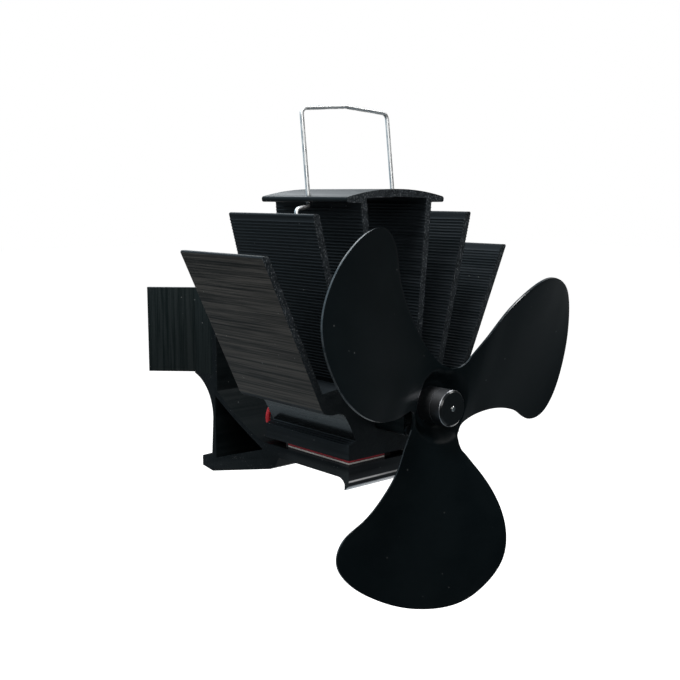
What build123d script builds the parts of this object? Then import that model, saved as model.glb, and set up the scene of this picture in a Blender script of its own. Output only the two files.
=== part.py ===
from build123d import *
from math import asin, cos, pi, radians, sin, sqrt, tan
import os

os.makedirs("parts", exist_ok=True)

# Stove fan that hangs on a flue pipe and runs on the pipe's heat.
# Millimetres. X to the right seen from the front, Y to the rear, Z up.
# The origin is the middle of the tail face, where the front line of the pipe touches.

# Flue pipe and clearances
pipe_r = 50.0
pipe_gap = 0.4
run_clear = 0.03
fit_clear = 0.01
screw_clear = 0.05
seat_clear = 0.1
cut_over = 2.0

# Heights, stacked from the middle of the tail face
slab_rise = 14.2
slab_t = 5.6
ceramic_t = 0.7
pellet_h = 1.45
plate_t = 7.05
tips_above_plate = 85.0
stack_h = ceramic_t + pellet_h + ceramic_t
z_slab = slab_rise
z_slab_top = z_slab + slab_t
z_plate = z_slab_top + stack_h
z_plate_top = z_plate + plate_t
z_tips = z_plate_top + tips_above_plate

# Depths, measured forward from the tail face
sink_depth = 60.2
tail_behind_sink = 55.9
y_rear = -tail_behind_sink
y_front = y_rear - sink_depth

# Heat sink section: plate, trunk, legs, fins and arched cap
plate_half = 28.65
cap_half = 29.8
cap_rise = 26.8
cap_r = 130.0
cap_under_r = 96.0
cap_t = 2.2
cap_flange_drop = 5.9
cap_nose_r = 1.1
leg_top_x = 21.9
leg_foot_x = 14.6
leg_t = 3.3
mid_tip_x = 48.8
mid_tip_rise = 16.3
mid_foot_x = 29.1
mid_t = 3.5
out_tip_x = 75.4
out_foot_x = 44.0
out_t = 3.6
channel_floor = 56.0
mid_floor = 58.0
out_floor = 60.0
tip_round = 0.6
trunk_x_shares = (1.487, 1.340, 1.222, 1.120, 1.019, 0.935, 0.859, 0.928)
trunk_z_shares = (0.813, 0.826, 0.826, 0.818, 0.873, 0.925, 0.980, 0.989)
out_foot_share = 0.7906

# Wire handle
wire_r = 1.0
bail_half = 26.3
bail_lean = 6.7
bail_hole_r = 1.3
bail_corner_h = 40.3
bail_apex_h = 42.3
bail_corner_r = 3.0
bail_apex_r = 9.0
hook_drop = 3.4
hook_reach = 7.4
hook_fall = 1.3
hook_tip = 3.4
hook_r = 2.0

# Hot base: slab, lips, struts, wall, shelf and tail, one section along X
base_half = 28.65
lip_drop = 4.6
lip_reach = 2.2
lip_root = 7.95
lip_front_drop = 3.0
rear_lip_from_tail = 58.65
rear_lip_drop = 7.0
rear_lip_in = 3.95
rear_lip_rise = 1.8
rear_root_in = 7.2
strut_from_tail = 52.4
strut_foot_in = 0.8
strut_t_foot = 3.9
wall_t = 4.2
cell_wall_t = 2.4
wall_from_tail = 10.3
strut_head_drop = 7.55
cell_head_drop = 10.4
strut_sag_share = 0.045
cell_foot_rise = 3.7
tail_face_half = 2.65
tail_top_run = 8.9
tail_top_rise = 3.0
tail_under_run = 9.4
tail_under_drop = 1.35
shelf_z = 46.8
shelf_reach = 16.15
shelf_edge_t = 0.8
shelf_root_drop = 23.4
lip_mid_share = 0.36
lip_mid_drop_share = 0.33
shelf_mid_share = 0.28
shelf_mid_drop_share = 0.34

# Pipe saddle, an extrusion that stands on the shelf
saddle_h = 44.3
saddle_t = 2.2
saddle_back_t = 3.0
saddle_half = 28.65
wing_end_x = 46.3
wing_angle = 45.0
magnet_r = 6.0
magnet_t = 1.4
magnet_pitch = 24.0
magnet_from_bend = 10.0
saddle_screw_r = 2.0
saddle_screw_head_r = 3.6
saddle_screw_head_t = 2.4
saddle_screw_x = 14.0
saddle_screw_pitch = 24.0
saddle_screw_bite = 3.4

# Thermoelectric module, its seals, clamp screws and sleeves
teg_side = 40.0
teg_from_front = 10.2
pellet_side = 3.4
pellet_rows = 6
pellet_pitch = 6.5
seal_dark_t = 1.3
seal_white_t = 1.0
seal_gap = 0.4
seal_side_len = 43.0
seal_notch_half = 7.0
clamp_r = 1.5
clamp_head_r = 2.8
clamp_head_t = 2.0
clamp_washer_t = 0.6
clamp_washer_r = 3.1
sleeve_r = 2.2
clamp_bite = 5.0
clamp_front_y = 6.5
clamp_rear_y = 46.6
clamp_rear_x = 24.4

# Motor, its square housing and the screws that hold it
hub_above_plate = 25.3
house_half = 13.0
house_depth = 18.4
house_front_t = 1.2
house_edge = 1.0
house_screw_off = 10.6
house_screw_r = 1.25
house_screw_head_r = 2.2
house_screw_head_t = 1.3
house_screw_bite = 7.0
can_r = 12.2
can_wall = 0.8
cap_len = 2.4
cap_spigot = 1.0
boss_r = 3.4
boss_len = 1.1
bush_r = 2.6
bush_len = 2.4
shaft_r = 1.15
shaft_proud = 0.4
shaft_tail = 0.5
magnet_in_r = 9.2
magnet_len = 9.0
magnet_band_half = 7.2
armature_r = 8.7
armature_len = 7.6
armature_slot_w = 1.6
armature_slot_in = 4.6
commutator_r = 2.6
commutator_len = 2.6
commutator_gap = 0.4
brush_w = 1.6
brush_edge = 0.3
brush_clear = 0.1
tab_x = 4.5
tab_w = 2.0
tab_t = 0.5
tab_len = 3.2
wire_bore_r = 8.0

# Propeller: dished centre, three pitched blades, bushing and cap
blade_r = 88.0
blade_t = 1.0
web_from_front = 28.5
valley_r = 17.6
dish_r = 16.5
dish_floor_r = 10.0
dish_depth = 7.5
hub_r = 8.0
spigot_r = 5.0
rivet_r = 6.6
rivet_t = 0.8
hub_nose = 6.6
hub_bevel = 0.9
hub_groove = 0.25
first_blade_angle = 128.5
blades = 3
blade_station_shares = (0.080, 0.165, 0.26, 0.38, 0.52, 0.68, 0.85, 1.06)
blade_slope_shares = (0.0, -0.03, -0.27, -0.335, -0.368, -0.365, -0.325, -0.25)
blade_camber_shares = (0.0, -0.02, -0.19, -0.20, -0.155, -0.12, -0.08, -0.05)
blade_cubic_share = 0.19
blade_steep_share = 0.365
blade_width_shares = (-0.45, -0.22, 0.0, 0.26, 0.50, 0.74)
valley_out_shares = ((0.125, -0.159), (0.180, -0.142))
valley_in_shares = ((0.171, 0.186), (0.125, 0.166))
blade_edge_shares = (
    (0.225, -0.139), (0.345, -0.133), (0.440, -0.148), (0.545, -0.181),
    (0.650, -0.235), (0.760, -0.312), (0.868, -0.314), (0.940, -0.235),
    (0.985, -0.090), (0.998, 0.060), (0.975, 0.240), (0.905, 0.395),
    (0.780, 0.490), (0.640, 0.525), (0.500, 0.495), (0.375, 0.420),
    (0.270, 0.310), (0.185, 0.203),
)

# Leads from the module to the motor, from the module's rear edge to the terminals
lead_r = 1.2
lead_out_x = 15.0
lead_out_run = 4.5
lead_points = (
    (22.6, -53.1, 21.2), (25.2, -52.0, 31.5), (20.2, -51.8, 41.5),
    (10.5, -51.4, 46.8), (4.6, -54.6, 48.0), (4.4, -70.0, 47.7),
    (4.7, -88.0, 48.2), (4.5, -102.0, 47.9),
)
lead_radii = (8.0, 5.0, 9.0, 9.0, 6.0, 6.0, 60.0, 60.0, 60.0)

# Places worked out from the sizes above
z_hub = z_plate + hub_above_plate
z_apex = z_tips + cap_rise
z_flange = z_apex - cap_flange_drop
y_bail = y_front + sink_depth / 2
y_web = y_front - web_from_front
y_wall = -wall_from_tail
z_shelf = shelf_z
z_saddle_top = z_shelf + saddle_h


def sink_z(depth):
    return z_tips - depth


def slanted(x_top, z_top, x_foot, z_foot, t):
    return [(x_top, z_top), (x_top - t, z_top), (x_foot - t, z_foot), (x_foot, z_foot)]


def cap_sag(x):
    return cap_r - sqrt(cap_r ** 2 - x ** 2)


# Heat sink: one aluminium extrusion along Y, half the section drawn and mirrored
z_leg_top = z_apex - cap_sag(leg_top_x) - cap_t / 2
out_foot_z = sink_z(out_foot_share * tips_above_plate)
trunk = [(out_foot_x, out_foot_z)]
for sx, sz in zip(trunk_x_shares, trunk_z_shares):
    trunk.append((sx * plate_half, sink_z(sz * tips_above_plate)))
with BuildPart() as heat_sink:
    with BuildSketch(Plane.XZ.offset(-y_rear)) as section:
        with BuildLine():
            z_end = z_apex - cap_sag(cap_half)
            x_under = leg_top_x - leg_t / 2
            under_sag = cap_under_r - sqrt(cap_under_r ** 2 - x_under ** 2)
            z_under = z_apex - cap_t - under_sag
            ThreePointArc((-cap_half, z_end), (0, z_apex), (cap_half, z_end))
            Polyline(
                (cap_half, z_end), (cap_half, z_flange), (x_under, z_flange), (x_under, z_under),
            )
            ThreePointArc((x_under, z_under), (0, z_apex - cap_t), (-x_under, z_under))
            Polyline(
                (-x_under, z_under), (-x_under, z_flange), (-cap_half, z_flange), (-cap_half, z_end),
            )
        make_face()
        nose = section.vertices().filter_by_position(Axis.X, leg_top_x, cap_half + cap_t)
        nose += section.vertices().filter_by_position(Axis.X, -cap_half - cap_t, -leg_top_x)
        fillet(nose, radius=cap_nose_r)
        with BuildLine():
            Polyline(
                (0, sink_z(channel_floor)),
                (leg_foot_x, sink_z(channel_floor)),
                (mid_foot_x, sink_z(mid_floor)),
                (out_foot_x, sink_z(out_floor)),
                *trunk,
                (plate_half, z_plate_top),
                (plate_half, z_plate),
                (0, z_plate),
                close=True,
            )
        make_face()
        for bar in (
            slanted(leg_top_x, z_leg_top, leg_foot_x, sink_z(mid_floor), leg_t),
            slanted(mid_tip_x, z_tips + mid_tip_rise, mid_foot_x, sink_z(out_floor), mid_t),
            slanted(out_tip_x, z_tips, out_foot_x, out_foot_z, out_t),
        ):
            with BuildLine():
                Polyline(*bar, close=True)
            make_face()
        for z_tip in (z_tips + mid_tip_rise, z_tips):
            tips = section.vertices().filter_by_position(
                Axis.Y, z_tip - seat_clear, z_tip + seat_clear
            )
            fillet(tips, radius=tip_round)
        mirror(about=Plane.YZ)
    extrude(amount=sink_depth)
    # Holes in the cap for the wire handle
    with BuildSketch(Plane.XY.offset(z_apex + cut_over)):
        with Locations((-bail_half, y_bail), (bail_half, y_bail)):
            Circle(bail_hole_r)
    extrude(amount=-(cap_flange_drop + cut_over + cut_over), mode=Mode.SUBTRACT)
    # Bore through the trunk for the leads, behind the motor
    with BuildSketch(Plane.XZ.offset(-y_rear - cut_over)):
        with Locations((0, z_hub)):
            Circle(wire_bore_r)
    extrude(amount=sink_depth + cut_over + cut_over, mode=Mode.SUBTRACT)
    # Threaded holes for the housing screws
    with BuildSketch(Plane.XZ.offset(-y_front)):
        with Locations((0, z_hub)):
            with GridLocations(2 * house_screw_off, 2 * house_screw_off, 2, 2):
                Circle(house_screw_r + screw_clear)
    extrude(amount=-(house_screw_bite + cut_over), mode=Mode.SUBTRACT)
    # Threaded holes for the clamp screws
    with BuildSketch(Plane.XY.offset(z_plate)):
        with Locations(
            (0, y_front + clamp_front_y),
            (-clamp_rear_x, y_front + clamp_rear_y),
            (clamp_rear_x, y_front + clamp_rear_y),
        ):
            Circle(clamp_r + screw_clear)
    extrude(amount=clamp_bite + seat_clear, mode=Mode.SUBTRACT)
heat_sink.part.label = "heat_sink"
export_step(heat_sink.part, "parts/heat_sink.step")

# Wire handle: one bent wire whose ends hook under the cap
z_bail = (z_apex - cap_sag(bail_half) + z_flange) / 2
lean = radians(bail_lean)
bail_plane = Plane(
    origin=(0, y_bail, z_bail),
    x_dir=(1, 0, 0),
    z_dir=(0, -cos(lean), sin(lean)),
)
with BuildPart() as handle_bail:
    with BuildLine(bail_plane) as bail_path:
        hook_x = bail_half + hook_reach
        hook_z = -(hook_drop + hook_fall)
        FilletPolyline(
            (-hook_x, hook_z - hook_tip),
            (-hook_x, hook_z),
            (-bail_half, -hook_drop),
            (-bail_half, bail_corner_h),
            (0, bail_apex_h),
            (bail_half, bail_corner_h),
            (bail_half, -hook_drop),
            (hook_x, hook_z),
            (hook_x, hook_z - hook_tip),
            radius=(hook_r, hook_r, bail_corner_r, bail_apex_r, bail_corner_r, hook_r, hook_r),
        )
    with BuildSketch(bail_path.line ^ 0):
        Circle(wire_r)
    sweep()
handle_bail.part.label = "handle_bail"
export_step(handle_bail.part, "parts/handle_bail.step")

# Hot base: one aluminium extrusion along X, pressed on the hot side of the module
y_strut = -strut_from_tail
y_lip = -rear_lip_from_tail
y_cell = y_wall - cell_wall_t
z_strut_head = z_shelf - strut_head_drop
z_cell_head = z_shelf - cell_head_drop
z_cell_foot = cell_foot_rise
z_strut_foot = z_slab_top
y_wall_front = y_wall - wall_t
strut_run = y_wall_front - y_strut
strut_sag = strut_sag_share * strut_run
with BuildPart() as hot_base:
    with BuildSketch(Plane.YZ.offset(-base_half)):
        with BuildLine():
            front_top = (y_front, z_slab_top)
            front_low = (y_front, z_slab - lip_front_drop)
            lip_tip = (y_front + lip_reach, z_slab - lip_drop)
            lip_in = (y_front + lip_root, z_slab)
            lip_mid = (
                y_front + lip_mid_share * (lip_reach + lip_root),
                z_slab - lip_mid_drop_share * lip_drop,
            )
            Line(front_top, front_low)
            Line(front_low, lip_tip)
            ThreePointArc(lip_tip, lip_mid, lip_in)
            rear_in = (y_lip - rear_root_in, z_slab)
            rear_mid = (y_lip - rear_lip_in, z_slab - rear_lip_drop + rear_lip_rise)
            rear_tip = (y_lip, z_slab - rear_lip_drop)
            Polyline(lip_in, rear_in, rear_mid, rear_tip)
            tail_low = (-tail_under_run, -tail_face_half - tail_under_drop)
            tail_top = (-tail_top_run, tail_face_half + tail_top_rise)
            Polyline(rear_tip, tail_low, (0, -tail_face_half), (0, tail_face_half), tail_top)
            shelf_root = (y_wall, z_shelf - shelf_root_drop)
            shelf_low = (y_wall + shelf_reach, z_shelf - shelf_edge_t)
            shelf_mid = (
                y_wall + shelf_mid_share * shelf_reach,
                z_shelf - shelf_edge_t - shelf_mid_drop_share * (shelf_root_drop - shelf_edge_t),
            )
            Line(tail_top, shelf_root)
            ThreePointArc(shelf_root, shelf_mid, shelf_low)
            shelf_out = (y_wall + shelf_reach, z_shelf)
            Polyline(
                shelf_low, shelf_out, (y_wall, z_shelf), (y_wall, z_saddle_top),
                (y_wall_front, z_saddle_top), (y_wall_front, z_strut_head),
            )
            strut_mid = (
                y_strut + strut_run / 2,
                (z_strut_head + z_strut_foot) / 2 - strut_sag,
            )
            ThreePointArc((y_wall_front, z_strut_head), strut_mid, (y_strut, z_strut_foot))
            Line((y_strut, z_strut_foot), front_top)
        make_face()
        with BuildLine():
            cell_corner = (y_strut - strut_foot_in, z_slab_top - strut_t_foot)
            cell_mid = (
                (cell_corner[0] + y_cell) / 2,
                (cell_corner[1] + z_cell_head) / 2 - strut_sag / 2,
            )
            ThreePointArc((y_cell, z_cell_head), cell_mid, cell_corner)
            Polyline(cell_corner, (y_cell, z_cell_foot), (y_cell, z_cell_head))
        make_face(mode=Mode.SUBTRACT)
    extrude(amount=2 * base_half)
    # Clamp screw holes with recessed heads
    with BuildSketch(Plane.XY.offset(z_slab_top + cut_over)):
        with Locations(
            (0, y_front + clamp_front_y),
            (-clamp_rear_x, y_front + clamp_rear_y),
            (clamp_rear_x, y_front + clamp_rear_y),
        ):
            Circle(sleeve_r + screw_clear)
    extrude(amount=-(slab_t + cut_over + cut_over), mode=Mode.SUBTRACT)
    head_room = clamp_head_t + clamp_washer_t
    with BuildSketch(Plane.XY.offset(z_slab + head_room)):
        with Locations(
            (0, y_front + clamp_front_y),
            (-clamp_rear_x, y_front + clamp_rear_y),
            (clamp_rear_x, y_front + clamp_rear_y),
        ):
            Circle(clamp_washer_r + seat_clear)
    extrude(amount=-(head_room + cut_over), mode=Mode.SUBTRACT)
    # Hollow in the rear edge of the shelf, round the pipe
    with BuildSketch(Plane.XY.offset(z_shelf + cut_over)):
        with Locations((0, pipe_r)):
            Circle(pipe_r + pipe_gap)
    extrude(amount=-(shelf_root_drop + cut_over), mode=Mode.SUBTRACT)
    # Threaded holes in the wall for the saddle screws
    with BuildSketch(Plane.XZ.offset(-y_wall)):
        with Locations((0, z_shelf + saddle_h / 2)):
            with GridLocations(2 * saddle_screw_x, saddle_screw_pitch, 2, 2):
                Circle(saddle_screw_r + screw_clear)
    extrude(amount=wall_t + cut_over, mode=Mode.SUBTRACT)
hot_base.part.label = "hot_base"
export_step(hot_base.part, "parts/hot_base.step")

# Pipe saddle: back plate, cheeks and wings, an extrusion along Z
wing = radians(wing_angle)
y_axis = pipe_r


def wing_line(off, x):
    # The wing's face, a tangent plane of the pipe moved outward by off
    return y_axis - (pipe_r + off - x * sin(wing)) / cos(wing)


x_cheek = saddle_half
x_cheek_in = saddle_half - saddle_t
with BuildPart() as pipe_saddle:
    with BuildSketch(Plane.XY.offset(z_shelf)):
        with BuildLine():
            end_out = (wing_end_x, wing_line(saddle_t, wing_end_x))
            end_in_x = wing_end_x - saddle_t * sin(wing)
            end_in = (end_in_x, wing_line(0, end_in_x))
            Polyline(
                (0, y_wall),
                (x_cheek, y_wall),
                (x_cheek, wing_line(saddle_t, x_cheek)),
                end_out,
                end_in,
                (x_cheek_in, wing_line(0, x_cheek_in)),
                (x_cheek_in, y_wall + saddle_back_t),
                (0, y_wall + saddle_back_t),
                close=True,
            )
        make_face()
        mirror(about=Plane.YZ)
    extrude(amount=saddle_h)
    # Pockets for the magnets in the pipe side of the wings
    for side in (-1, 1):
        x_mag = x_cheek_in + magnet_from_bend * cos(wing)
        face = Plane(
            origin=(side * x_mag, wing_line(0, x_mag), z_shelf + saddle_h / 2),
            x_dir=(0, 0, 1),
            z_dir=(-side * sin(wing), cos(wing), 0),
        )
        with BuildSketch(face):
            with GridLocations(magnet_pitch, 0, 2, 1):
                Circle(magnet_r + screw_clear)
        extrude(amount=-magnet_t, mode=Mode.SUBTRACT)
    # Clearance holes for the saddle screws
    with BuildSketch(Plane.XZ.offset(-y_wall - saddle_back_t)):
        with Locations((0, z_shelf + saddle_h / 2)):
            with GridLocations(2 * saddle_screw_x, saddle_screw_pitch, 2, 2):
                Circle(saddle_screw_r + screw_clear)
    extrude(amount=saddle_back_t + cut_over, mode=Mode.SUBTRACT)
pipe_saddle.part.label = "pipe_saddle"
export_step(pipe_saddle.part, "parts/pipe_saddle.step")

# Four disc magnets, flush in the wings
with BuildPart() as pipe_magnets:
    for side in (-1, 1):
        x_mag = x_cheek_in + magnet_from_bend * cos(wing)
        face = Plane(
            origin=(side * x_mag, wing_line(0, x_mag), z_shelf + saddle_h / 2),
            x_dir=(0, 0, 1),
            z_dir=(-side * sin(wing), cos(wing), 0),
        )
        with BuildSketch(face):
            with GridLocations(magnet_pitch, 0, 2, 1):
                Circle(magnet_r)
        extrude(amount=-magnet_t)
pipe_magnets.part.label = "pipe_magnets"
export_step(pipe_magnets.part, "parts/pipe_magnets.step")

# Four pan-head screws that hold the saddle on the wall
y_saddle_back = y_wall + saddle_back_t
with BuildPart() as saddle_screws:
    with BuildSketch(Plane.XZ.offset(-y_saddle_back)):
        with Locations((0, z_shelf + saddle_h / 2)):
            with GridLocations(2 * saddle_screw_x, saddle_screw_pitch, 2, 2):
                Circle(saddle_screw_r)
    extrude(amount=saddle_back_t + saddle_screw_bite)
    with BuildSketch(Plane.XZ.offset(-y_saddle_back)):
        with Locations((0, z_shelf + saddle_h / 2)):
            with GridLocations(2 * saddle_screw_x, saddle_screw_pitch, 2, 2):
                Circle(saddle_screw_head_r)
    extrude(amount=-saddle_screw_head_t)
    chamfer(
        saddle_screws.faces().sort_by(Axis.Y)[-4:].edges(),
        length=saddle_screw_head_t / 4,
    )
saddle_screws.part.label = "saddle_screws"
export_step(saddle_screws.part, "parts/saddle_screws.step")

# Thermoelectric module: two ceramic plates and the pellets between them
y_teg = y_front + teg_from_front + teg_side / 2
z_pellets = z_slab_top + ceramic_t
z_cold = z_pellets + pellet_h
with BuildPart() as teg_hot_plate:
    with BuildSketch(Plane.XY.offset(z_slab_top)):
        with Locations((0, y_teg)):
            Rectangle(teg_side, teg_side)
    extrude(amount=ceramic_t)
teg_hot_plate.part.label = "teg_hot_plate"
export_step(teg_hot_plate.part, "parts/teg_hot_plate.step")

with BuildPart() as teg_pellets:
    with BuildSketch(Plane.XY.offset(z_pellets)):
        with Locations((0, y_teg)):
            with GridLocations(pellet_pitch, pellet_pitch, pellet_rows, pellet_rows):
                Rectangle(pellet_side, pellet_side)
    extrude(amount=pellet_h)
teg_pellets.part.label = "teg_pellets"
export_step(teg_pellets.part, "parts/teg_pellets.step")

with BuildPart() as teg_cold_plate:
    with BuildSketch(Plane.XY.offset(z_cold)):
        with Locations((0, y_teg)):
            Rectangle(teg_side, teg_side)
    extrude(amount=ceramic_t)
teg_cold_plate.part.label = "teg_cold_plate"
export_step(teg_cold_plate.part, "parts/teg_cold_plate.step")


# Seals round the module: dark strips, white fibre strips and red silicone, in that order
def seal_section(z):
    seal_in = teg_side / 2 + seal_gap
    with BuildSketch(Plane.XY.offset(z)) as strips:
        with BuildLine():
            Polyline(
                (seal_notch_half, y_front),
                (plate_half, y_front),
                (plate_half, y_front + seal_side_len),
                (seal_in, y_front + seal_side_len),
                (seal_in, y_front + teg_from_front - seal_gap),
                (seal_notch_half, y_front + teg_from_front - seal_gap),
                close=True,
            )
        make_face()
        mirror(about=Plane.YZ)
    return strips.sketch


with BuildPart() as seal_dark:
    extrude(seal_section(z_slab_top), amount=seal_dark_t)
seal_dark.part.label = "seal_dark"
export_step(seal_dark.part, "parts/seal_dark.step")

z_white = z_slab_top + seal_dark_t
with BuildPart() as seal_white:
    extrude(seal_section(z_white), amount=seal_white_t)
seal_white.part.label = "seal_white"
export_step(seal_white.part, "parts/seal_white.step")

with BuildPart() as seal_red:
    extrude(seal_section(z_white + seal_white_t), amount=z_plate - z_white - seal_white_t)
seal_red.part.label = "seal_red"
export_step(seal_red.part, "parts/seal_red.step")

# Three clamp screws from below, their washers and insulating sleeves
clamp_spots = (
    (0, y_front + clamp_front_y),
    (-clamp_rear_x, y_front + clamp_rear_y),
    (clamp_rear_x, y_front + clamp_rear_y),
)
with BuildPart() as clamp_screws:
    with BuildSketch(Plane.XY.offset(z_slab)):
        with Locations(*clamp_spots):
            Circle(clamp_head_r)
    extrude(amount=clamp_head_t)
    with BuildSketch(Plane.XY.offset(z_slab + clamp_head_t)):
        with Locations(*clamp_spots):
            Circle(clamp_r)
    extrude(amount=z_plate + clamp_bite - z_slab - clamp_head_t)
clamp_screws.part.label = "clamp_screws"
export_step(clamp_screws.part, "parts/clamp_screws.step")

with BuildPart() as clamp_washers:
    with BuildSketch(Plane.XY.offset(z_slab + clamp_head_t)):
        with Locations(*clamp_spots):
            Circle(clamp_washer_r)
            Circle(clamp_r + run_clear, mode=Mode.SUBTRACT)
    extrude(amount=clamp_washer_t)
clamp_washers.part.label = "clamp_washers"
export_step(clamp_washers.part, "parts/clamp_washers.step")

z_sleeve = z_slab + clamp_head_t + clamp_washer_t
with BuildPart() as clamp_sleeves:
    with BuildSketch(Plane.XY.offset(z_sleeve)):
        with Locations(*clamp_spots):
            Circle(sleeve_r)
            Circle(clamp_r + run_clear, mode=Mode.SUBTRACT)
    extrude(amount=z_plate - z_sleeve)
clamp_sleeves.part.label = "clamp_sleeves"
export_step(clamp_sleeves.part, "parts/clamp_sleeves.step")

# Motor housing: a square block with a round bore, open to the rear
y_house = y_front - house_depth
y_can = y_house + house_front_t
can_depth = y_front - y_can
with BuildPart() as motor_housing:
    with BuildSketch(Plane.XZ.offset(-y_front)):
        with Locations((0, z_hub)):
            Rectangle(2 * house_half, 2 * house_half)
    extrude(amount=house_depth)
    chamfer(motor_housing.edges().filter_by(Axis.Y), length=house_edge)
    with BuildSketch(Plane.XZ.offset(-y_front)):
        with Locations((0, z_hub)):
            Circle(can_r + seat_clear)
    extrude(amount=can_depth, mode=Mode.SUBTRACT)
    with BuildSketch(Plane.XZ.offset(-y_can)):
        with Locations((0, z_hub)):
            Circle(boss_r + seat_clear)
    extrude(amount=house_front_t + cut_over, mode=Mode.SUBTRACT)
    with BuildSketch(Plane.XZ.offset(-y_front)):
        with Locations((0, z_hub)):
            with GridLocations(2 * house_screw_off, 2 * house_screw_off, 2, 2):
                Circle(house_screw_r + screw_clear)
    extrude(amount=house_depth + cut_over, mode=Mode.SUBTRACT)
motor_housing.part.label = "motor_housing"
export_step(motor_housing.part, "parts/motor_housing.step")

with BuildPart() as housing_screws:
    with BuildSketch(Plane.XZ.offset(-y_house)):
        with Locations((0, z_hub)):
            with GridLocations(2 * house_screw_off, 2 * house_screw_off, 2, 2):
                Circle(house_screw_head_r)
    extrude(amount=house_screw_head_t)
    with BuildSketch(Plane.XZ.offset(-y_house)):
        with Locations((0, z_hub)):
            with GridLocations(2 * house_screw_off, 2 * house_screw_off, 2, 2):
                Circle(house_screw_r)
    extrude(amount=-(house_depth + house_screw_bite))
housing_screws.part.label = "housing_screws"
export_step(housing_screws.part, "parts/housing_screws.step")

# Motor can: a drawn cup with its bearing boss to the front
can_len = can_depth - cap_len
y_can_end = y_can + can_len
hub_axis = Axis((0, y_front, z_hub), (0, 1, 0))


def ring_section(*profile):
    # The half section of a turned piece, from (radius, y) points about the hub axis
    with BuildSketch(Plane.YZ) as half:
        with BuildLine():
            Polyline(*[(y, z_hub + r) for r, y in profile], close=True)
        make_face()
    return half.sketch


with BuildPart() as motor_can:
    revolve(
        ring_section(
            (bush_r, y_can - boss_len),
            (boss_r, y_can - boss_len),
            (boss_r, y_can),
            (can_r, y_can),
            (can_r, y_can_end),
            (can_r - can_wall, y_can_end),
            (can_r - can_wall, y_can + can_wall),
            (bush_r, y_can + can_wall),
        ),
        axis=hub_axis,
    )
motor_can.part.label = "motor_can"
export_step(motor_can.part, "parts/motor_can.step")

# End cap of the motor, with its spigot in the can and two slots for the terminals
spigot_in_r = can_r - can_wall - screw_clear
with BuildPart() as motor_end_cap:
    revolve(
        ring_section(
            (bush_r, y_can_end - cap_spigot),
            (spigot_in_r, y_can_end - cap_spigot),
            (spigot_in_r, y_can_end),
            (can_r, y_can_end),
            (can_r, y_front),
            (bush_r, y_front),
        ),
        axis=hub_axis,
    )
    with BuildSketch(Plane.XZ.offset(-y_front)):
        with Locations((-tab_x, z_hub), (tab_x, z_hub)):
            Rectangle(tab_t + 2 * run_clear, tab_w + 2 * run_clear)
    extrude(amount=cap_len + cap_spigot + cut_over, mode=Mode.SUBTRACT)
motor_end_cap.part.label = "motor_end_cap"
export_step(motor_end_cap.part, "parts/motor_end_cap.step")

# Sintered bushes, one in the boss and one in the end cap
bush_out = bush_r - run_clear
bush_in = shaft_r + run_clear
with BuildPart() as motor_bushes:
    revolve(
        ring_section(
            (bush_in, y_can - boss_len),
            (bush_out, y_can - boss_len),
            (bush_out, y_can - boss_len + bush_len),
            (bush_in, y_can - boss_len + bush_len),
        ),
        axis=hub_axis,
    )
    revolve(
        ring_section(
            (bush_in, y_front - bush_len - shaft_tail / 2),
            (bush_out, y_front - bush_len - shaft_tail / 2),
            (bush_out, y_front - shaft_tail / 2),
            (bush_in, y_front - shaft_tail / 2),
        ),
        axis=hub_axis,
    )
motor_bushes.part.label = "motor_bushes"
export_step(motor_bushes.part, "parts/motor_bushes.step")

# Two arc magnets against the can wall
y_magnets = y_can + can_wall + bush_len / 2
with BuildPart() as motor_magnets:
    with BuildSketch(Plane.XZ.offset(-y_magnets)):
        with Locations((0, z_hub)):
            Circle(can_r - can_wall - run_clear)
            Circle(magnet_in_r, mode=Mode.SUBTRACT)
            Rectangle(2 * can_r, 2 * magnet_band_half, mode=Mode.INTERSECT)
    extrude(amount=-magnet_len)
motor_magnets.part.label = "motor_magnets"
export_step(motor_magnets.part, "parts/motor_magnets.step")

# Armature core with its slots, turning with the shaft
y_armature = y_magnets + (magnet_len - armature_len) / 2
y_commutator = y_can_end - cap_spigot - commutator_gap - commutator_len
with BuildPart() as motor_armature:
    with BuildSketch(Plane.XZ.offset(-y_armature)):
        with Locations((0, z_hub)):
            Circle(armature_r)
            Circle(shaft_r + fit_clear, mode=Mode.SUBTRACT)
            with PolarLocations((armature_r + armature_slot_in) / 2, 3, start_angle=90):
                Rectangle(
                    armature_r - armature_slot_in + seat_clear,
                    armature_slot_w,
                    mode=Mode.SUBTRACT,
                )
    extrude(amount=-armature_len)
motor_armature.part.label = "motor_armature"
export_step(motor_armature.part, "parts/motor_armature.step")

with BuildPart() as motor_commutator:
    revolve(
        ring_section(
            (shaft_r + fit_clear, y_commutator),
            (commutator_r, y_commutator),
            (commutator_r, y_commutator + commutator_len),
            (shaft_r + fit_clear, y_commutator + commutator_len),
        ),
        axis=hub_axis,
    )
motor_commutator.part.label = "motor_commutator"
export_step(motor_commutator.part, "parts/motor_commutator.step")

# Brushes between the commutator and the terminals
brush_in = commutator_r + brush_clear
brush_out = tab_x - tab_t / 2
brush_mid_x = (brush_in + brush_out) / 2
with BuildPart() as motor_brushes:
    with BuildSketch(Plane.XZ.offset(-y_commutator - brush_edge)):
        with Locations((-brush_mid_x, z_hub), (brush_mid_x, z_hub)):
            Rectangle(brush_out - brush_in, brush_w)
    extrude(amount=-(commutator_len - 2 * brush_edge))
motor_brushes.part.label = "motor_brushes"
export_step(motor_brushes.part, "parts/motor_brushes.step")

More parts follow.
